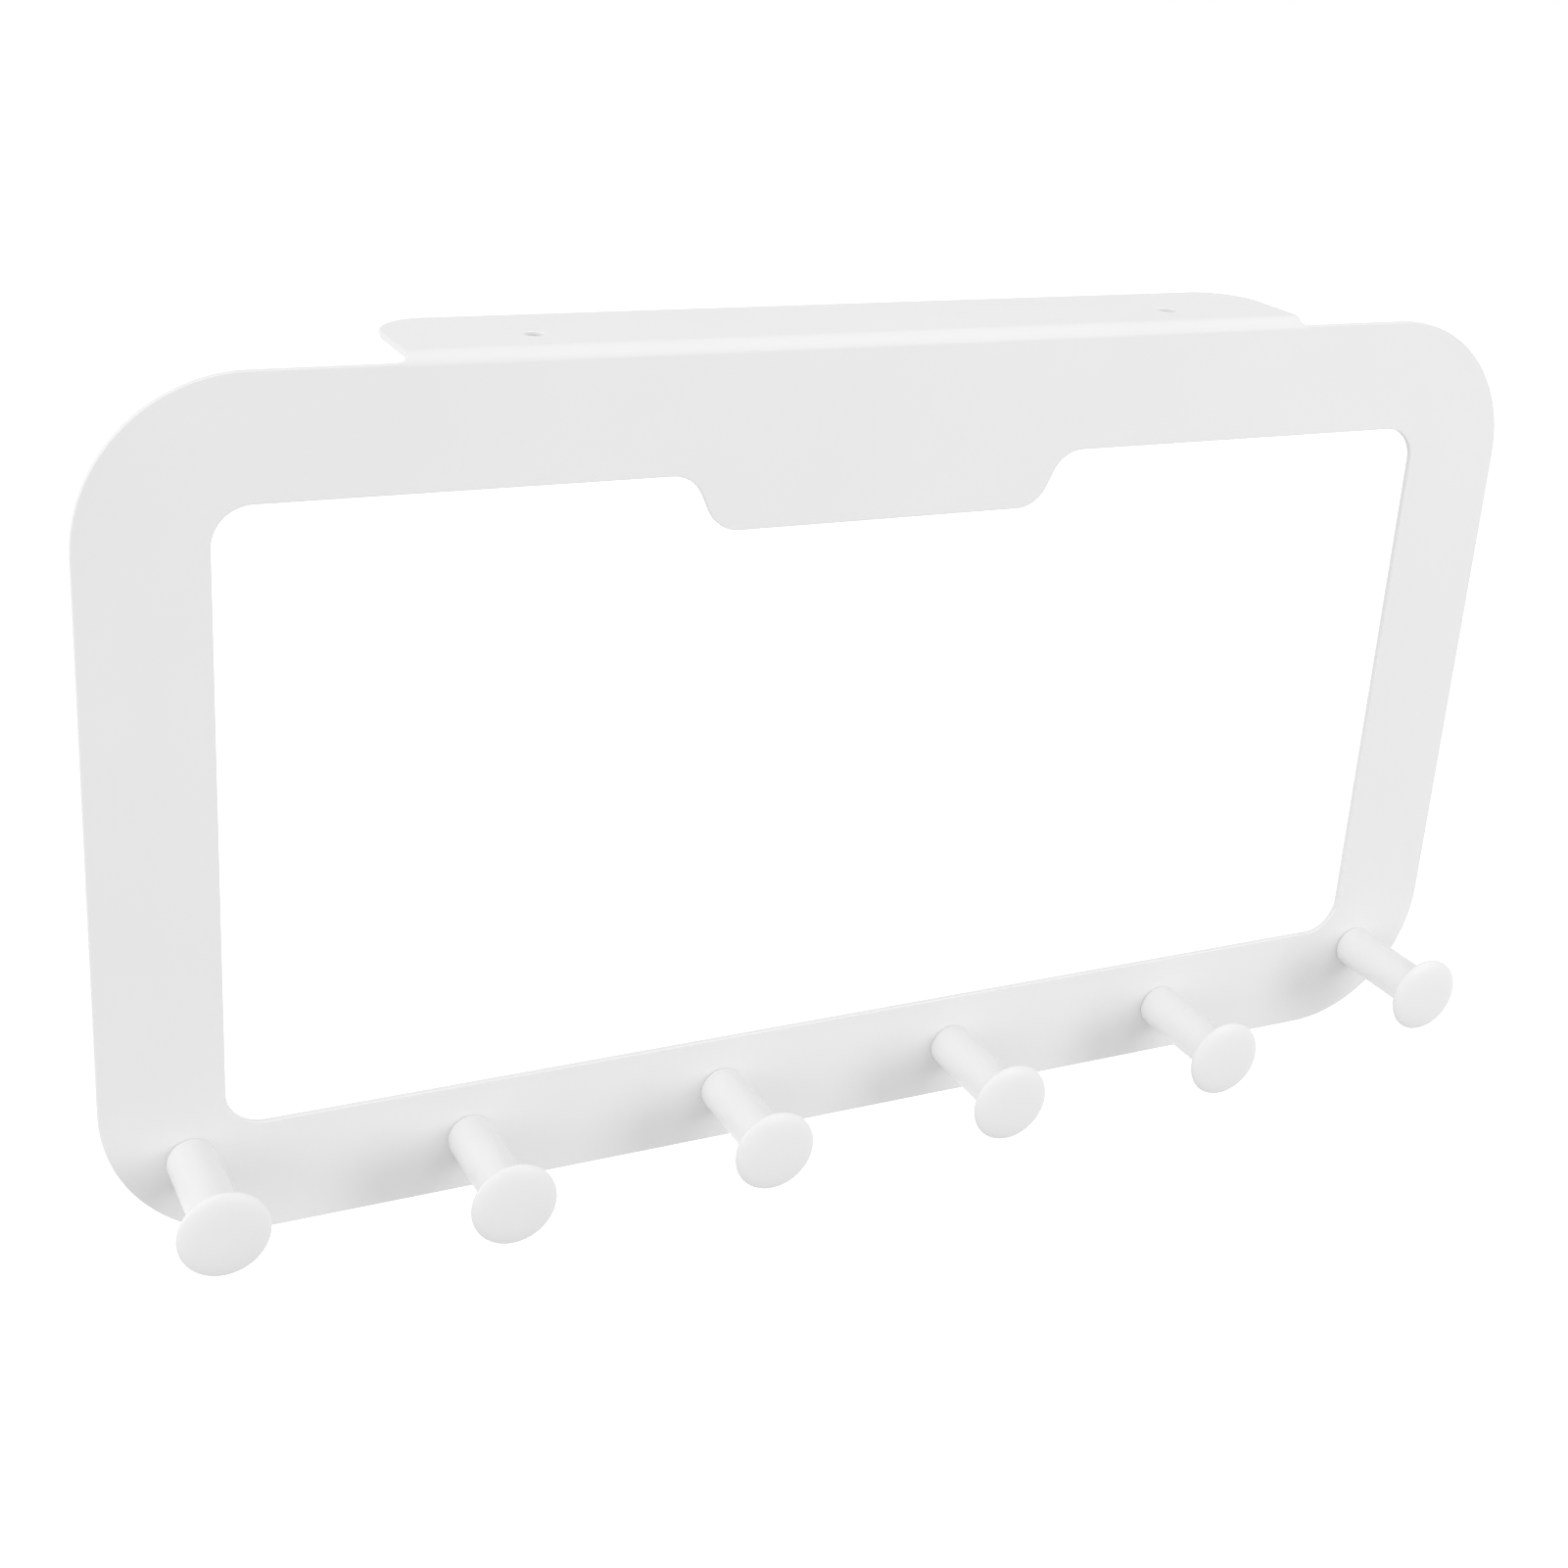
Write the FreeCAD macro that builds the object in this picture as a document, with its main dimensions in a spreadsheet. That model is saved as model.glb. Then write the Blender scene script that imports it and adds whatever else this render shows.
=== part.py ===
import FreeCAD
import Part
import Sketcher
import os

# An over-door coat rack, in millimetres. One steel sheet is cut to a rounded frame with a leaf on its
# top edge. The leaf is bent back through a right angle and lies on top of the door, and the frame hangs
# flat against the door's face. Six turned pegs with mushroom heads stand on the bottom bar, each with a
# spigot that is pressed through the sheet and welded flush behind.
# The origin is the middle of the door's top front corner: x runs along the door, y into it and z up.
# The sheet's back face is the plane y = 0, and the underside of the leaf is the plane z = 0.

SIZES = [
    ("plate_width", 350.0, "overall width of the frame"),
    ("plate_height", 192.0, "height of the frame beside the leaf"),
    ("sheet_thickness", 1.5, "thickness of the steel sheet"),
    ("bar_width", 26.7, "width of all four bars of the frame"),
    ("outer_corner_radius", 35.0, "radius of the frame's outer corners"),
    ("window_corner_radius", 8.5, "radius of the window's corners"),
    ("tab_top_width", 92.2, "width of the centre tab where it leaves the top bar"),
    ("tab_taper", 6.0, "how much each side of the centre tab runs inwards towards its lower edge"),
    ("tab_drop", 13.0, "how far the centre tab reaches below the top bar"),
    ("tab_radius", 8.1, "radius of the tab's inner and outer corners"),
    ("leaf_width", 218.2, "width of the leaf on the door's top edge"),
    ("leaf_depth", 28.8, "reach of the leaf from the door's face to its rear edge"),
    ("leaf_corner_radius", 12.5, "radius of the leaf's two rear corners"),
    ("bend_radius", 1.5, "inside radius of the bend"),
    ("side_rise", 0.8, "how far the frame beside the leaf stands above the start of the bend"),
    ("screw_hole_diameter", 4.3, "diameter of the two screw holes in the leaf"),
    ("screw_hole_spacing", 157.0, "distance between the two screw holes"),
    ("screw_hole_setback", 10.8, "distance of the screw holes from the door's face"),
    ("peg_end_margin", 19.0, "distance of the outermost pegs from the frame's ends"),
    ("stem_diameter", 10.8, "diameter of a peg's stem"),
    ("peg_reach", 30.8, "distance from the sheet's front to the front of the head's rim"),
    ("neck_flare", 0.45, "widening of the stem where it meets the head"),
    ("head_diameter", 19.6, "diameter of a peg's head"),
    ("head_thickness", 1.9, "thickness of the head at its rim"),
    ("head_back_bevel", 0.6, "bevel of the rim at the back of the head"),
    ("head_front_bevel", 0.6, "bevel of the rim at the front of the head"),
    ("head_dome", 0.7, "rise of the head's front from its rim to its middle"),
    ("spigot_diameter", 4.0, "diameter of the spigot that passes through the sheet"),
    ("spigot_play", 0.05, "gap between the spigot and its hole, all round"),
]

PEG_COUNT = 6
NEAR = 0.001

doc = FreeCAD.newDocument("OverDoorHook")
sheet = doc.addObject("Spreadsheet::Sheet", "Sizes")
for row, (alias, value, meaning) in enumerate(SIZES, start=1):
    sheet.set(f"A{row}", alias)
    sheet.set(f"B{row}", str(value))
    sheet.setAlias(f"B{row}", alias)
    sheet.set(f"C{row}", meaning)
doc.recompute()

# The lines that several features share, as formulas of the sizes.
WINDOW_HALF = "(Sizes.plate_width / 2 - Sizes.bar_width)"
BEND_START = "-Sizes.bend_radius"
SIDE_TOP = "(Sizes.side_rise - Sizes.bend_radius)"
WINDOW_TOP = f"({SIDE_TOP} - Sizes.bar_width)"
TAB_BOTTOM = f"({WINDOW_TOP} - Sizes.tab_drop)"
BOTTOM = f"({SIDE_TOP} - Sizes.plate_height)"
WINDOW_BOTTOM = f"({BOTTOM} + Sizes.bar_width)"


def worked_out(formula):
    """The value of a formula that names sizes of the sheet."""
    return float(sheet.evalExpression(formula))


def new_body(label):
    body = doc.addObject("PartDesign::Body", label)
    body.Label = label
    return body


def new_sketch(body, name, role):
    """A sketch on one of the body's own origin planes."""
    sketch = body.newObject("Sketcher::SketchObject", name)
    plane = next(plane for plane in body.Origin.OriginFeatures if plane.Role == role)
    sketch.AttachmentSupport = [(plane, "")]
    sketch.MapMode = "FlatFace"
    return sketch


def new_feature(body, kind, name, **settings):
    """A feature of the body. A setting that names a size is a formula, and any other is set as it is."""
    feature = body.newObject(f"PartDesign::{kind}", name)
    for key, value in settings.items():
        if isinstance(value, str) and "Sizes." in value:
            feature.setExpression(key, value)
        else:
            setattr(feature, key, value)
    doc.recompute()
    return feature


def cut_through(body, sketch, name):
    """Cut a sketch right through the body, on both sides of the sketch's plane."""
    volume = body.Shape.Volume
    new_feature(body, "Pocket", name, Profile=sketch, Type="ThroughAll", Midplane=True)
    if body.Shape.Volume > volume - NEAR:
        raise RuntimeError(f"{name} cuts nothing")


def bind(sketch, kind, places, formula):
    """A dimension of the sketch that follows a formula."""
    number = sketch.addConstraint(Sketcher.Constraint(kind, *places, worked_out(formula)))
    sketch.setExpression(f"Constraints[{number}]", formula)


def arc_between(start, end, radius, turn):
    """The shorter arc from start to end. It bends left where turn is 1 and right where it is -1."""
    chord = end - start
    middle = (start + end) * 0.5
    to_centre = FreeCAD.Vector(-chord.y, chord.x, 0).normalize() * turn
    distance = max(radius**2 - chord.Length**2 / 4, 0) ** 0.5
    return Part.Arc(start, middle + to_centre * (distance - radius), end)


def draw_outline(sketch, corners, arcs=None):
    """Draw a closed outline through corners, each a pair of formulas.

    arcs gives each curved side's radius formula and turn by the number of the corner that it starts from.
    """
    arcs = arcs or {}
    points = [FreeCAD.Vector(worked_out(x), worked_out(y), 0) for x, y in corners]
    sides = []
    for number, start in enumerate(points):
        end = points[(number + 1) % len(points)]
        if number in arcs:
            radius, turn = arcs[number]
            side = sketch.addGeometry(arc_between(start, end, worked_out(radius), turn), False)
            bind(sketch, "Radius", (side,), radius)
        else:
            side = sketch.addGeometry(Part.LineSegment(start, end), False)
        forward = sketch.getPoint(side, 1).isEqual(start, NEAR)
        sides.append((side, 1, 2) if forward else (side, 2, 1))
    for number, (side, first, last) in enumerate(sides):
        after, after_first, _ = sides[(number + 1) % len(sides)]
        sketch.addConstraint(Sketcher.Constraint("Coincident", side, last, after, after_first))
        bind(sketch, "DistanceX", (-1, 1, side, first), corners[number][0])
        bind(sketch, "DistanceY", (-1, 1, side, first), corners[number][1])


def draw_circle(sketch, x, y, diameter):
    """Draw a circle whose centre and diameter are formulas."""
    centre = FreeCAD.Vector(worked_out(x), worked_out(y), 0)
    circle = Part.Circle(centre, FreeCAD.Vector(0, 0, 1), worked_out(diameter) / 2)
    number = sketch.addGeometry(circle, False)
    bind(sketch, "DistanceX", (-1, 1, number, 3), x)
    bind(sketch, "DistanceY", (-1, 1, number, 3), y)
    bind(sketch, "Diameter", (number,), diameter)


def round_corners(body, name, radius, along, corners):
    """Round the corners whose edges run along one axis, 0 to 2, at places given across that axis."""
    across = [axis for axis in range(3) if axis != along]
    places = [[worked_out(formula) for formula in corner] for corner in corners]

    def stands_at(point, place):
        return all(abs(point[axis] - value) < NEAR for axis, value in zip(across, place))

    base = body.Tip
    edges = []
    for number, edge in enumerate(base.Shape.Edges, start=1):
        ends = [vertex.Point for vertex in edge.Vertexes]
        if len(ends) == 2 and any(all(stands_at(point, place) for point in ends) for place in places):
            edges.append(f"Edge{number}")
    if len(edges) != len(places):
        raise RuntimeError(f"{name} finds {len(edges)} corners of {len(places)}")
    new_feature(body, "Fillet", name, Base=(base, edges), Radius=radius)


def mirrored(corners):
    """The same corners on the other side of the middle, in the same order."""
    return [(f"-({x})", y) for x, y in corners]


def peg_place(number):
    """The x and z formulas of a peg, counted from 0 at the left.

    The pegs are evenly spaced along x and sit on the middle line of the bar, which is straight between the
    bottom corners and follows their arcs beyond.
    """
    steps = PEG_COUNT - 1
    x = f"({2 * number - steps} / {steps} * (Sizes.plate_width / 2 - Sizes.peg_end_margin))"
    past_corner = f"max(0; abs({x}) - (Sizes.plate_width / 2 - Sizes.outer_corner_radius))"
    middle_radius = "(Sizes.outer_corner_radius - Sizes.bar_width / 2)"
    z = f"({BOTTOM} + Sizes.outer_corner_radius - sqrt({middle_radius} ^ 2 - {past_corner} ^ 2))"
    return x, z


def build_hanger_plate():
    """The sheet: a flat frame and a bent leaf in one piece, pierced for screws and pegs.

    The frame beside the leaf stands a little above the start of the bend, so the bend ends in a small step
    there. On the real sheet the metal is drawn from one to the other.
    """
    body = new_body("hanger_plate")

    frame = new_sketch(body, "FrameOutline", "XZ_Plane")
    right_half = [
        ("Sizes.leaf_width / 2", BEND_START),
        ("Sizes.leaf_width / 2", SIDE_TOP),
        ("Sizes.plate_width / 2", SIDE_TOP),
        ("Sizes.plate_width / 2", BOTTOM),
    ]
    draw_outline(frame, right_half + mirrored(right_half)[::-1])
    new_feature(body, "Pad", "FlatFrame", Profile=frame, Length="Sizes.sheet_thickness")

    leaf = new_sketch(body, "LeafSection", "YZ_Plane")
    leaf_section = [
        ("Sizes.bend_radius", "Sizes.sheet_thickness"),
        ("-Sizes.sheet_thickness", BEND_START),
        ("0", BEND_START),
        ("Sizes.bend_radius", "0"),
        ("Sizes.leaf_depth", "0"),
        ("Sizes.leaf_depth", "Sizes.sheet_thickness"),
    ]
    bends = {0: ("Sizes.bend_radius + Sizes.sheet_thickness", 1), 2: ("Sizes.bend_radius", -1)}
    draw_outline(leaf, leaf_section, bends)
    new_feature(body, "Pad", "BentLeaf", Profile=leaf, Midplane=True, Length="Sizes.leaf_width")

    leaf_corner = [("Sizes.leaf_width / 2", "Sizes.leaf_depth")]
    round_corners(body, "LeafCorners", "Sizes.leaf_corner_radius", 2, leaf_corner + mirrored(leaf_corner))
    outer_corners = [("Sizes.plate_width / 2", SIDE_TOP), ("Sizes.plate_width / 2", BOTTOM)]
    outer_corners += mirrored(outer_corners)
    round_corners(body, "OuterCorners", "Sizes.outer_corner_radius", 1, outer_corners)

    window = new_sketch(body, "Window", "XZ_Plane")
    window_corners = [(WINDOW_HALF, WINDOW_BOTTOM), (WINDOW_HALF, WINDOW_TOP)]
    tab_corners = [
        ("Sizes.tab_top_width / 2", WINDOW_TOP),
        ("Sizes.tab_top_width / 2 - Sizes.tab_taper", TAB_BOTTOM),
    ]
    right_half = window_corners + tab_corners
    draw_outline(window, right_half + mirrored(right_half)[::-1])
    cut_through(body, window, "WindowCut")
    window_corners += mirrored(window_corners)
    round_corners(body, "WindowCorners", "Sizes.window_corner_radius", 1, window_corners)
    tab_corners += mirrored(tab_corners)
    round_corners(body, "TabCorners", "Sizes.tab_radius", 1, tab_corners)

    screw_holes = new_sketch(body, "ScrewHoles", "XY_Plane")
    for side in ("", "-"):
        x = f"{side}Sizes.screw_hole_spacing / 2"
        draw_circle(screw_holes, x, "Sizes.screw_hole_setback", "Sizes.screw_hole_diameter")
    cut_through(body, screw_holes, "ScrewHoleCuts")

    peg_holes = new_sketch(body, "PegHoles", "XZ_Plane")
    for number in range(PEG_COUNT):
        draw_circle(peg_holes, *peg_place(number), "Sizes.spigot_diameter + 2 * Sizes.spigot_play")
    cut_through(body, peg_holes, "PegHoleCuts")
    return body


def build_peg(number):
    """A turned peg: spigot, stem and domed head, pointing straight out of the sheet."""
    body = new_body(f"peg_{number + 1}")
    stem = "Sizes.stem_diameter / 2"
    spigot = "Sizes.spigot_diameter / 2"
    head = "Sizes.head_diameter / 2"
    front = "Sizes.sheet_thickness"
    rim_front = f"{front} + Sizes.peg_reach"
    rim_back = f"{rim_front} - Sizes.head_thickness"
    # Each corner is a radius and a distance in front of the sheet's back face.
    profile = [
        ("0", "0"),
        (spigot, "0"),
        (spigot, front),
        (stem, front),
        (stem, f"{rim_back} - Sizes.neck_flare"),
        (f"{stem} + Sizes.neck_flare", rim_back),
        (f"{head} - Sizes.head_back_bevel", rim_back),
        (head, f"{rim_back} + Sizes.head_back_bevel"),
        (head, f"{rim_front} - Sizes.head_front_bevel"),
        (f"{head} - Sizes.head_front_bevel - Sizes.head_dome", f"{rim_front} + Sizes.head_dome"),
        ("0", f"{rim_front} + Sizes.head_dome"),
    ]
    sketch = new_sketch(body, f"PegProfile{number + 1}", "XY_Plane")
    draw_outline(sketch, [(radius, f"-({distance})") for radius, distance in profile])
    turned = {"Profile": sketch, "ReferenceAxis": (sketch, ["V_Axis"]), "Angle": 360}
    new_feature(body, "Revolution", f"TurnedPeg{number + 1}", **turned)
    cut_dome(body, number)
    x, z = peg_place(number)
    body.setExpression(".Placement.Base.x", x)
    body.setExpression(".Placement.Base.z", z)
    doc.recompute()
    return body


def cut_dome(body, number):
    """Cut the head's front to the surface of a large ball that passes through the front edge of the rim.

    The sketch has its origin at the ball's centre. Its outline lies just outside the ball and turns about
    the line through that centre that runs across the peg.
    """
    head = "Sizes.head_diameter / 2"
    rim_edge = f"({head} - Sizes.head_front_bevel)"
    ball = f"(({rim_edge} ^ 2 + Sizes.head_dome ^ 2) / (2 * Sizes.head_dome))"
    beside_head = f"sqrt({ball} ^ 2 - ({head}) ^ 2)"
    beyond = f"({ball} + Sizes.head_dome)"
    sketch = new_sketch(body, f"DomeProfile{number + 1}", "XY_Plane")
    from_door = f"{ball} - Sizes.sheet_thickness - Sizes.peg_reach - Sizes.head_dome"
    sketch.setExpression(".AttachmentOffset.Base.y", from_door)
    doc.recompute()
    outline = [
        (f"-{head}", f"-{beside_head}"),
        (head, f"-{beside_head}"),
        (head, f"-{beyond}"),
        (f"-{head}", f"-{beyond}"),
    ]
    draw_outline(sketch, outline, {0: (ball, 1)})
    volume = body.Shape.Volume
    swept = {"Profile": sketch, "ReferenceAxis": (sketch, ["H_Axis"]), "Midplane": True, "Angle": 180}
    new_feature(body, "Groove", f"Dome{number + 1}", **swept)
    if body.Shape.Volume > volume - NEAR:
        raise RuntimeError(f"Dome{number + 1} cuts nothing")


bodies = [build_hanger_plate()]
for peg_number in range(PEG_COUNT):
    bodies.append(build_peg(peg_number))

failed = [item.Name for item in doc.Objects if {"Invalid", "Error"} & set(item.State)]
if failed:
    raise RuntimeError(f"these could not be worked out: {failed}")
os.makedirs("parts", exist_ok=True)
for body in bodies:
    if body.Shape.isNull() or not body.Shape.isValid():
        raise RuntimeError(f"{body.Label} has no valid shape")
for body in bodies:
    body.Shape.exportStep(f"parts/{body.Label}.step")
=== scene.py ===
import bpy
import numpy as np
from mathutils import Matrix, Vector
from mathutils.geometry import delaunay_2d_cdt


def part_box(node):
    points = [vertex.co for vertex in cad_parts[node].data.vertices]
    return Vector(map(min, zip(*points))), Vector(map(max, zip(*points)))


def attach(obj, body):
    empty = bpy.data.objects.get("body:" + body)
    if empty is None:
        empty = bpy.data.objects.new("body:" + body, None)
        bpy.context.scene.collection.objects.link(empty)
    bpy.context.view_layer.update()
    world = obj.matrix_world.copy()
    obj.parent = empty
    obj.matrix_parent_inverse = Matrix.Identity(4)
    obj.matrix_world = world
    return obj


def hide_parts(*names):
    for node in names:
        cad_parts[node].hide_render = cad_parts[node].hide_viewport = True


# An over-door coat rack of white powder-coated steel, in metres. The x axis runs along the door, y into
# it and z up, and the origin is the middle of the door's top front corner.
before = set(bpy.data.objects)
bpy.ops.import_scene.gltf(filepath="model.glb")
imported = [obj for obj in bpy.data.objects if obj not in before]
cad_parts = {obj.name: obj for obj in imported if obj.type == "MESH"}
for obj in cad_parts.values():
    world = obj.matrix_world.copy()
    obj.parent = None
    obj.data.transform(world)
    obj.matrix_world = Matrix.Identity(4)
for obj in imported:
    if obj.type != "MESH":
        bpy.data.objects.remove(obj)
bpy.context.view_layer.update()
MM = 0.001

# The sheet is the rack's body: one blank of 1.5 mm steel, cut to a rounded frame with a leaf on its top
# edge, pierced, deburred, and then folded through a right angle so that the leaf lies on top of the door.
# It is coated after the pegs are fixed, so its cut edges are soft and as white as its faces.
sheet_low, sheet_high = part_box("hanger_plate")
SHEET = sheet_high.z
HALF_WIDTH = sheet_high.x
FOLD_INNER = 1.5 * MM
FOLD_LENGTH = FOLD_INNER * np.pi / 2
FOLD_STEPS = 10
SIDE_RISE = 0.8 * MM
BLANK_BOTTOM = sheet_low.z + FOLD_INNER
BLANK_REAR = sheet_high.y - FOLD_INNER + FOLD_LENGTH
BAR = 26.7 * MM
OUTER_CORNER = 35 * MM
WINDOW_CORNER = 8.5 * MM
TAB_HALF = 46.1 * MM
TAB_TAPER = 6 * MM
TAB_DROP = 13 * MM
TAB_CORNER = 8.1 * MM
LEAF_HALF = 109.1 * MM
LEAF_CORNER = 12.5 * MM
NOTCH_CORNER = 0.6 * MM
DRAWN = 2.5 * MM
DRAWN_STEPS = 4
SCREW_HOLE = 4.3 / 2 * MM
SCREW_X = 157 / 2 * MM
SCREW_SETBACK = 10.8 * MM
PEG_COUNT = 6
PEG_HOLE = 4.1 / 2 * MM
EDGE = 0.3 * MM
EDGE_STEPS = 5
ARC_STEP = np.radians(4)
STEP_SLACK = 0.01
KEEP_INSIDE = 1
SAME_PLACE = 1e-7


def arc_corner(before, corner, after, radius):
    """The points of one rounded corner, and the unit normals that point out of the sheet there.

    The arc touches both sides at radius times the tangent of half the turn from the corner. Its normals
    run from the first side's to the second's at even angles, in as many steps as the turn needs less a
    small slack. The sheet lies to the left of the line, so the normals point right, and where the line
    turns right they point at the arc's centre. Where it doesn't turn, the result is the corner alone.
    """
    along = (corner - before) / np.linalg.norm(corner - before)
    onward = (after - corner) / np.linalg.norm(after - corner)
    turn = np.arctan2(along[0] * onward[1] - along[1] * onward[0], along @ onward)
    count = int(np.ceil(abs(turn) / ARC_STEP - STEP_SLACK))
    angles = np.arctan2(-along[0], along[1]) + np.linspace(0, turn, count + 1)
    normals = np.column_stack([np.cos(angles), np.sin(angles)])
    touch = corner - along * radius * np.tan(abs(turn) / 2)
    centre = touch - np.sign(turn) * radius * normals[0]
    return centre + np.sign(turn) * radius * normals, normals


def rounded_loop(corners):
    """A closed line through corners, each a place on the blank and a radius, as points and normals."""
    places = np.array(corners, float)[:, :2]
    before, after = np.roll(places, 1, axis=0), np.roll(places, -1, axis=0)
    radii = [radius for _, _, radius in corners]
    arcs = [arc_corner(*three, radius) for *three, radius in zip(before, places, after, radii)]
    return np.vstack([points for points, _ in arcs]), np.vstack([normals for _, normals in arcs])


def hole_loop(x, across, radius):
    """A round hole, run clockwise in steps twice as long, as points and normals that point at its middle."""
    angles = -np.arange(0, 2 * np.pi - ARC_STEP, ARC_STEP * 2)
    circle = np.column_stack([np.cos(angles), np.sin(angles)])
    return np.array([x, across]) + radius * circle, -circle


def fold_frame(flat):
    """How far points of the blank run on straight, and the folded sheet's two unit vectors there.

    A point has a place along the door and a place across the blank, which is 0 where the fold starts,
    negative on the frame and positive on the leaf. The sheet turns by the place across over the fold's
    inner radius, held between nothing and a right angle. Beside the leaf the turn fades out smoothly
    along the door, where the metal is drawn flat again. What the turn doesn't take up is straight. The
    first vector, as y and z, runs on across the sheet, and the second leaves its front, or the leaf's top.
    """
    beside = np.clip((np.abs(flat[..., 0]) - LEAF_HALF) / DRAWN, 0, 1)
    share = 1 - beside**2 * (3 - 2 * beside)
    bent = share * np.clip(flat[..., 1], 0, FOLD_LENGTH)
    turn = bent / FOLD_INNER
    return flat[..., 1] - bent, (np.sin(turn), np.cos(turn)), (-np.cos(turn), np.sin(turn))


def folded(flat, depth):
    """Carry points of the flat blank onto the folded sheet.

    The sheet's back runs straight up the door, round an arc of the fold's inner radius and straight on
    along the door's top. depth is measured from there along the sheet's own normal.
    """
    straight, (along_y, along_z), (out_y, out_z) = fold_frame(flat)
    back_y = FOLD_INNER * (1 + out_y) + straight * along_y
    back_z = FOLD_INNER * (out_z - 1) + straight * along_z
    return np.stack([flat[..., 0], back_y + depth * out_y, back_z + depth * out_z], axis=-1)


def edge_normals(outward, flat, lean):
    """Normals of the folded edge: the outline's own normal, leant towards the sheet's front by an angle."""
    straight, (along_y, along_z), (out_y, out_z) = fold_frame(flat)
    side, front = np.cos(lean), np.sin(lean)
    normal_y = side * outward[..., 1] * along_y + front * out_y
    normal_z = side * outward[..., 1] * along_z + front * out_z
    return np.stack([side * outward[..., 0], normal_y, normal_z], axis=-1)


def smooth_piece(name, points, faces, normals):
    """An object at the origin whose shading follows the given normals of its points."""
    mesh = bpy.data.meshes.new(name)
    mesh.from_pydata(points.tolist(), [], faces)
    mesh.shade_smooth()
    mesh.normals_split_custom_set_from_vertices(normals.tolist())
    piece = bpy.data.objects.new(name, mesh)
    bpy.context.scene.collection.objects.link(piece)
    return piece


def mirrored(corners):
    """The same corners on the other side of the middle, in reverse order."""
    return [(-x, across, radius) for x, across, radius in corners[::-1]]


fold_rows = np.linspace(0, FOLD_LENGTH, FOLD_STEPS + 1)
above_notch = fold_rows > SIDE_RISE + NOTCH_CORNER
drawn = LEAF_HALF + DRAWN * np.linspace(0, 1, DRAWN_STEPS + 1)
outer_half = [
    (HALF_WIDTH, BLANK_BOTTOM, OUTER_CORNER),
    (HALF_WIDTH, SIDE_RISE, OUTER_CORNER),
    *[(x, SIDE_RISE, 0) for x in drawn[:0:-1]],
    (LEAF_HALF, SIDE_RISE, NOTCH_CORNER),
    *[(LEAF_HALF, row, 0) for row in fold_rows[above_notch]],
    (LEAF_HALF, BLANK_REAR, LEAF_CORNER),
]
window_half = [
    (TAB_HALF - TAB_TAPER, SIDE_RISE - BAR - TAB_DROP, TAB_CORNER),
    (TAB_HALF, SIDE_RISE - BAR, TAB_CORNER),
    (HALF_WIDTH - BAR, SIDE_RISE - BAR, WINDOW_CORNER),
    (HALF_WIDTH - BAR, BLANK_BOTTOM + BAR, WINDOW_CORNER),
]
peg_boxes = [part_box(f"peg_{number + 1}") for number in range(PEG_COUNT)]
peg_places = [((low + high) / 2).xz for low, high in peg_boxes]
screw_across = SCREW_SETBACK - FOLD_INNER + FOLD_LENGTH
loops = [rounded_loop(outer_half + mirrored(outer_half)), rounded_loop(mirrored(window_half) + window_half)]
loops += [hole_loop(side * SCREW_X, screw_across, SCREW_HOLE) for side in (-1, 1)]
loops += [hole_loop(x, z + FOLD_INNER, PEG_HOLE) for x, z in peg_places]
outline = np.vstack([points for points, _ in loops])
outward = np.vstack([normals for _, normals in loops])

# The cut edge's section runs from the back face round two small arcs to the front face. For each of its
# points it has how far the point lies inside the outline, how deep in the sheet, and how its normal leans.
quarter = np.linspace(0, np.pi / 2, EDGE_STEPS + 1)
section_in = EDGE * np.concatenate([1 - np.sin(quarter), 1 - np.cos(quarter)])
section_depth = np.concatenate([EDGE * (1 - np.cos(quarter)), SHEET - EDGE * (1 - np.sin(quarter))])
section_lean = np.concatenate([quarter - np.pi / 2, quarter])
flat = outline[None] - outward[None] * section_in[:, None, None]
sheet_points = folded(flat, section_depth[:, None])
sheet_normals = edge_normals(outward[None], flat, section_lean[:, None])

# Each loop's edge is a band of four-sided faces, from one section point and one outline point to the next.
count = len(outline)
starts = np.cumsum([0] + [len(points) for points, _ in loops])
after = np.concatenate([np.roll(np.arange(a, b), -1) for a, b in zip(starts, starts[1:])])
rows = np.arange(len(section_in) - 1)[:, None] * count
here, ahead = rows + np.arange(count), rows + after
bands = np.stack([here, ahead, ahead + count, here + count], axis=-1).reshape(-1, 4)

# The fold starts below the frame's top edge, so its lower rows end inside the sheet. Their ends, and some
# points beside the leaf where the metal is drawn flat, are added to the back and to the front.
inside = [(LEAF_HALF - NOTCH_CORNER, row) for row in fold_rows[~above_notch]]
row_ends = len(inside)
inside += [(x, row) for x in drawn for row in fold_rows[:2]]
inside = np.array(inside + [(-x, row) for x, row in inside])
rims = len(section_in) * count
back_of = np.concatenate([np.arange(count), rims + np.arange(len(inside))])
front_of = np.concatenate([rims - count + np.arange(count), rims + len(inside) + np.arange(len(inside))])
faces_inside = [folded(inside, depth) for depth in (0, SHEET)]
normals_inside = [edge_normals(np.zeros(inside.shape), inside, lean) for lean in (-np.pi / 2, np.pi / 2)]

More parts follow.
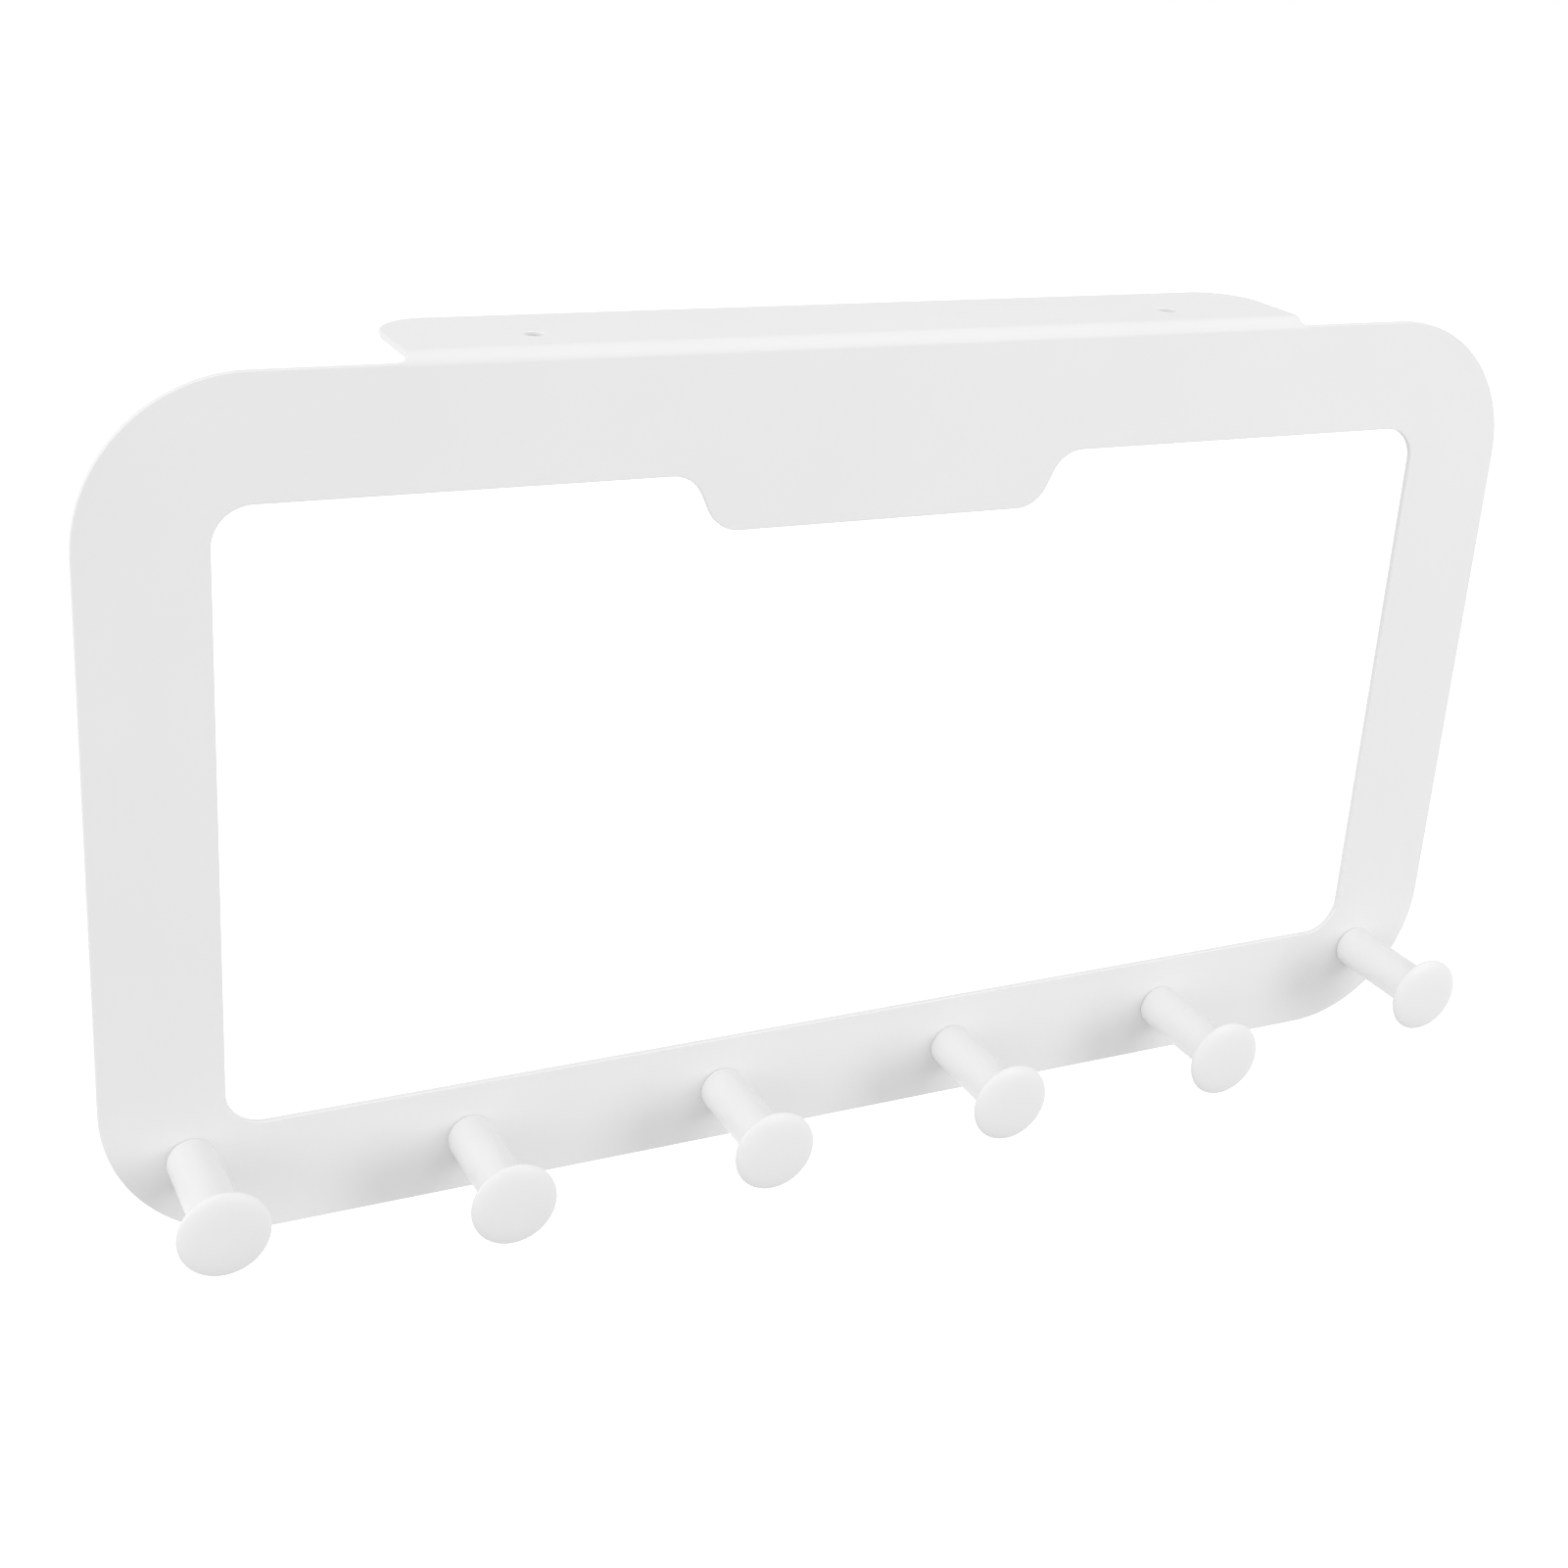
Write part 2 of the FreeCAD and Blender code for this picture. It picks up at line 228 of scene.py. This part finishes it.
# The faces between the loops are triangles, kept where they lie in the outer loop and in no hole. Lines
# across the leaf keep them from bridging the fold: each joins the right end of a row of the fold to the
# left end. Places closer than SAME_PLACE, in millimetres, count as one.
inset = flat[0]
leaf_end = np.isclose(inset[:, 0], LEAF_HALF - EDGE) & (inset[:, 1] < FOLD_LENGTH + EDGE / 2)
fold_lines = [(index, starts[1] - 1 - index) for index in np.flatnonzero(leaf_end)]
fold_lines += [(count + row, count + len(inside) // 2 + row) for row in range(row_ends)]
rings = [list(range(a, b)) for a, b in zip(starts, starts[1:])]
anticlockwise = rings[:1] + [ring[::-1] for ring in rings[1:]]
in_millimetres = [Vector(place) for place in np.vstack([inset, inside]) / MM]
filled = delaunay_2d_cdt(in_millimetres, fold_lines, anticlockwise, KEEP_INSIDE, SAME_PLACE)
places, triangles, sources, rings_of = filled[0], filled[2], filled[3], filled[5]
if len(places) != len(in_millimetres):
    raise RuntimeError("the sheet's outlines cross")
inner = np.array(
    [[sources[corner][0] for corner in face] for face, ring in zip(triangles, rings_of) if ring == [0]]
)
sheet_faces = bands.tolist() + front_of[inner].tolist() + back_of[inner[:, ::-1]].tolist()
all_points = np.vstack([sheet_points.reshape(-1, 3), *faces_inside])
all_normals = np.vstack([sheet_normals.reshape(-1, 3), *normals_inside])
sheet = smooth_piece("coated_sheet", all_points, sheet_faces, all_normals)
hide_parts("hanger_plate")
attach(sheet, "root")

# White polyester powder coat, sprayed dry on the bare steel and baked. It levels to a satin film with a
# faint orange peel, a long low waviness with finer grain on it, which softens every reflection.
COAT_WHITE = "#F0F0F0"
COAT_SHADE = "#ECECEC"
COAT_IOR = 1.5
COAT_ROUGHNESS = (0.40, 0.48)
PEEL_WAVE = 1.8 * MM
PEEL_GRAIN = 0.45 * MM
PEEL_HEIGHT = 0.012 * MM
GRAIN_SHARE = 0.25
TONE_WAVE = 45 * MM
NOISE_DETAIL = 2.0


def linear(hex_colour):
    """An sRGB hex colour as linear red, green, blue and alpha."""
    parts = np.array([int(hex_colour[place : place + 2], 16) for place in (1, 3, 5)]) / 255
    curve = np.where(parts <= 0.04045, parts / 12.92, ((parts + 0.055) / 1.055) ** 2.4)
    return (*curve, 1)


def add_node(tree, kind, inputs=None, **settings):
    """Add a node. An input is linked where its value is another node's output, and set otherwise."""
    node = tree.nodes.new(kind)
    for name, value in settings.items():
        setattr(node, name, value)
    for name, value in (inputs or {}).items():
        if isinstance(value, bpy.types.NodeSocket):
            tree.links.new(value, node.inputs[name])
        else:
            node.inputs[name].default_value = value
    return node


def powder_coat():
    """The coat's material: three layers of noise drive its tone, its gloss and its orange peel."""
    material = bpy.data.materials.new("white_powder_coat")
    material.use_nodes = True
    tree = material.node_tree
    tree.nodes.clear()
    place = add_node(tree, "ShaderNodeTexCoord").outputs["Object"]
    noise = {"Vector": place, "Detail": NOISE_DETAIL}
    tone = add_node(tree, "ShaderNodeTexNoise", {**noise, "Scale": 1 / TONE_WAVE}).outputs["Fac"]
    peel = add_node(tree, "ShaderNodeTexNoise", {**noise, "Scale": 1 / PEEL_WAVE}).outputs["Fac"]
    grain = add_node(tree, "ShaderNodeTexNoise", {**noise, "Scale": 1 / PEEL_GRAIN}).outputs["Fac"]
    # Inputs 6 and 7 of a mix node are its two colours, and output 2 is the mixed one.
    shades = {"Factor": tone, 6: linear(COAT_WHITE), 7: linear(COAT_SHADE)}
    colour = add_node(tree, "ShaderNodeMix", shades, data_type="RGBA").outputs[2]
    ends = {"Value": tone, "To Min": COAT_ROUGHNESS[0], "To Max": COAT_ROUGHNESS[1]}
    rough = add_node(tree, "ShaderNodeMapRange", ends).outputs["Result"]
    height = add_node(tree, "ShaderNodeMath", {0: grain, 1: GRAIN_SHARE, 2: peel}, operation="MULTIPLY_ADD")
    relief = {"Height": height.outputs[0], "Distance": PEEL_HEIGHT, "Strength": 1.0}
    normal = add_node(tree, "ShaderNodeBump", relief).outputs["Normal"]
    look = {"Base Color": colour, "Roughness": rough, "Normal": normal, "IOR": COAT_IOR}
    shader = add_node(tree, "ShaderNodeBsdfPrincipled", look)
    add_node(tree, "ShaderNodeOutputMaterial", {"Surface": shader.outputs[0]})
    return material


coat = powder_coat()
sheet.data.materials.append(coat)

# The six pegs are turned from steel bar: a spigot that is pressed through the sheet and welded flush
# behind it, a plain stem, a small hollow under the head, and a thin head whose soft rim passes into a low
# dome. They are coated with the sheet.
peg_low, peg_high = peg_boxes[0]
SPIGOT = 2.0 * MM
SPIGOT_EDGE = 0.2 * MM
STEM = 5.4 * MM
STEM_BASE = 0.35 * MM
NECK = 0.8 * MM
HEAD = (peg_high.x - peg_low.x) / 2
HEAD_THICKNESS = 1.9 * MM
RIM_BACK = 0.6 * MM
RIM_FACE = 1.2 * MM
DOME = 0.7 * MM
RIM_FRONT = -peg_low.y - DOME
ARC_STEPS = 8
FACE_POWER = 5
FACE_STEPS = 30
TURN_STEPS = 120
SHARP_EDGE = np.radians(40)
QUARTER = 90


def profile_arc(centre, radius, first, last):
    """Points of an arc of the profile, from one angle to another, in degrees from straight outwards."""
    angles = np.radians(np.linspace(first, last, ARC_STEPS + 1))
    return np.array(centre) + radius * np.column_stack([np.cos(angles), np.sin(angles)])


def head_face(radius, foot, rim, dome):
    """Points of the head's face in the profile, from the outside of the rim to the axis.

    The distance from the axis is a share of the radius, the sine of an even turn. The distance in front
    is the foot, plus the rim's rise times the root of one less that share to a power, plus the dome's
    rise times one less its square, so that a soft rim passes into a low dome.
    """
    share = np.sin(np.linspace(np.pi / 2, 0, FACE_STEPS + 1))
    front = foot + rim * np.sqrt(1 - share**FACE_POWER) + dome * (1 - share**2)
    return np.column_stack([radius * share, front])


def turned_piece(name, profile, x, z):
    """The surface that a profile sweeps about the peg's axis, which points straight out of the sheet.

    A profile point has a distance from the axis and a distance in front of the sheet's back. It goes to
    x plus the first times the cosine of the turn, minus the second, and z plus the first times the sine.
    The profile starts and ends on the axis, and there the rings close on one point each.
    """
    turn = np.linspace(0, 2 * np.pi, TURN_STEPS, endpoint=False)
    ring = profile[1:-1]
    across = x + ring[:, :1] * np.cos(turn)
    up = z + ring[:, :1] * np.sin(turn)
    front = np.broadcast_to(-ring[:, 1:], across.shape)
    body = np.stack([across, front, up], axis=-1).reshape(-1, 3)
    ends = [(x, -profile[0, 1], z), (x, -profile[-1, 1], z)]
    first = np.arange(TURN_STEPS)
    second = np.roll(first, -1)
    rows = np.arange(len(ring) - 1)[:, None] * TURN_STEPS
    above = rows + TURN_STEPS
    walls = np.stack([rows + first, rows + second, above + second, above + first], axis=-1)
    last = (len(ring) - 1) * TURN_STEPS
    back = np.stack([np.full(TURN_STEPS, len(body)), second, first], axis=-1)
    face = np.stack([np.full(TURN_STEPS, len(body) + 1), last + first, last + second], axis=-1)
    mesh = bpy.data.meshes.new(name)
    faces = walls.reshape(-1, 4).tolist() + back.tolist() + face.tolist()
    mesh.from_pydata(np.vstack([body, ends]).tolist(), [], faces)
    mesh.shade_smooth()
    mesh.set_sharp_from_angle(angle=SHARP_EDGE)
    piece = bpy.data.objects.new(name, mesh)
    bpy.context.scene.collection.objects.link(piece)
    return piece


head_back = RIM_FRONT - HEAD_THICKNESS
peg_profile = np.vstack(
    [
        [(0, 0)],
        profile_arc((SPIGOT - SPIGOT_EDGE, SPIGOT_EDGE), SPIGOT_EDGE, -QUARTER, 0),
        [(SPIGOT, SHEET)],
        profile_arc((STEM - STEM_BASE, SHEET + STEM_BASE), STEM_BASE, -QUARTER, 0),
        profile_arc((STEM + NECK, head_back - NECK), NECK, 2 * QUARTER, QUARTER),
        profile_arc((HEAD - RIM_BACK, head_back + RIM_BACK), RIM_BACK, -QUARTER, 0),
        head_face(HEAD, RIM_FRONT - RIM_FACE, RIM_FACE, DOME),
    ]
)
for number, (x, z) in enumerate(peg_places, start=1):
    peg = turned_piece(f"turned_peg_{number}", peg_profile, x, z)
    peg.data.materials.append(coat)
    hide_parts(f"peg_{number}")
    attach(peg, "root")

# The studio is a pale floor a door's height below, an even white surround, and three large soft lamps:
# one on the left, along the frame, and two in front on the right, low and high. Each lamp has a direction
# round from straight in front, a height above level, both in degrees, and a power in watts. The camera
# sees floor and surround as white.
FLOOR_Z = -1.0
FLOOR_HALF = 12.0
FLOOR_GREY = "#C8C8C8"
FLOOR_LIFT = 0.55
SURROUND = 0.79
LAMP_AIM = Vector((0, 0, -0.1))
LAMP_REACH = 1.8
LAMP_SIZE = 0.8
LAMPS = {"side_lamp": (-85, 17, 9.2), "right_lamp": (30, 12, 6.3), "high_lamp": (30, 45, 3)}


def white_to_the_eye(tree, plain, eye):
    """Mix two shaders so that the camera, a mirror and clear glass see the second one."""
    path = add_node(tree, "ShaderNodeLightPath")
    seen = path.outputs["Is Camera Ray"]
    for ray in ("Is Glossy Ray", "Is Transmission Ray"):
        either = add_node(tree, "ShaderNodeMath", {0: seen, 1: path.outputs[ray]}, operation="MAXIMUM")
        seen = either.outputs[0]
    return add_node(tree, "ShaderNodeMixShader", {0: seen, 1: plain, 2: eye}).outputs[0]


floor_mesh = bpy.data.meshes.new("floor")
corners = [(-1, -1), (1, -1), (1, 1), (-1, 1)]
floor_mesh.from_pydata([(FLOOR_HALF * x, FLOOR_HALF * y, FLOOR_Z) for x, y in corners], [], [(0, 1, 2, 3)])
floor = bpy.data.objects.new("floor", floor_mesh)
bpy.context.scene.collection.objects.link(floor)
paint = bpy.data.materials.new("pale_floor_paint")
paint.use_nodes = True
tree = paint.node_tree
tree.nodes.clear()
matt = add_node(tree, "ShaderNodeBsdfDiffuse", {"Color": linear(FLOOR_GREY)}).outputs[0]
glow = add_node(tree, "ShaderNodeEmission", {"Strength": FLOOR_LIFT}).outputs[0]
bright = add_node(tree, "ShaderNodeBsdfDiffuse", {"Color": linear("#FFFFFF")}).outputs[0]
lifted = add_node(tree, "ShaderNodeAddShader", {0: bright, 1: glow}).outputs[0]
add_node(tree, "ShaderNodeOutputMaterial", {"Surface": white_to_the_eye(tree, matt, lifted)})
floor_mesh.materials.append(paint)

world = bpy.data.worlds.new("studio")
world.use_nodes = True
tree = world.node_tree
tree.nodes.clear()
plain = add_node(tree, "ShaderNodeBackground", {"Strength": SURROUND}).outputs[0]
white = add_node(tree, "ShaderNodeBackground", {"Strength": 1.0}).outputs[0]
for shade in (plain, white):
    shade.node.inputs["Color"].default_value = (1, 1, 1, 1)
add_node(tree, "ShaderNodeOutputWorld", {"Surface": white_to_the_eye(tree, plain, white)})
bpy.context.scene.world = world

for name, (round_from_front, height, power) in LAMPS.items():
    turn, rise = np.radians((round_from_front, height))
    direction = Vector((np.sin(turn) * np.cos(rise), -np.cos(turn) * np.cos(rise), np.sin(rise)))
    lamp = bpy.data.lights.new(name, "AREA")
    lamp.shape = "DISK"
    lamp.size = LAMP_SIZE
    lamp.energy = power
    lamp_object = bpy.data.objects.new(name, lamp)
    lamp_object.location = LAMP_AIM + direction * LAMP_REACH
    lamp_object.rotation_mode = "QUATERNION"
    lamp_object.rotation_quaternion = (-direction).to_track_quat("-Z", "Y")
    bpy.context.scene.collection.objects.link(lamp_object)

# The camera stands to the left, in front and a little above, and leans to its right. Its focal length and
# its centre are in pixels of a square picture, and its angles are in radians.
IMAGE = 1601
SENSOR = 36.0
FOCAL_PIXELS = 2428.62
CENTRE_X, CENTRE_Y = 846.05, 733.66
CAMERA_PLACE = np.array([-247.057, -446.617, 111.315]) * MM
YAW, PITCH, ROLL = 0.48963, 0.37467, 0.07447
NEAREST, FARTHEST = 0.01, 100
ahead = np.array([np.sin(YAW) * np.cos(PITCH), np.cos(YAW) * np.cos(PITCH), -np.sin(PITCH)])
level = np.array([np.cos(YAW), -np.sin(YAW), 0])
upright = np.cross(level, ahead)
right = np.cos(ROLL) * level + np.sin(ROLL) * upright
top = np.cos(ROLL) * upright - np.sin(ROLL) * level
camera_data = bpy.data.cameras.new("camera")
camera_data.sensor_width = SENSOR
camera_data.lens = FOCAL_PIXELS * SENSOR / IMAGE
camera_data.shift_x = (IMAGE / 2 - CENTRE_X) / IMAGE
camera_data.shift_y = (CENTRE_Y - IMAGE / 2) / IMAGE
camera_data.clip_start = NEAREST
camera_data.clip_end = FARTHEST
camera = bpy.data.objects.new("camera", camera_data)
turned = Matrix(np.column_stack([right, top, -ahead]).tolist()).to_4x4()
camera.matrix_world = Matrix.Translation(Vector(CAMERA_PLACE)) @ turned
bpy.context.scene.collection.objects.link(camera)
bpy.context.scene.camera = camera
bpy.context.scene.view_settings.view_transform = "Standard"
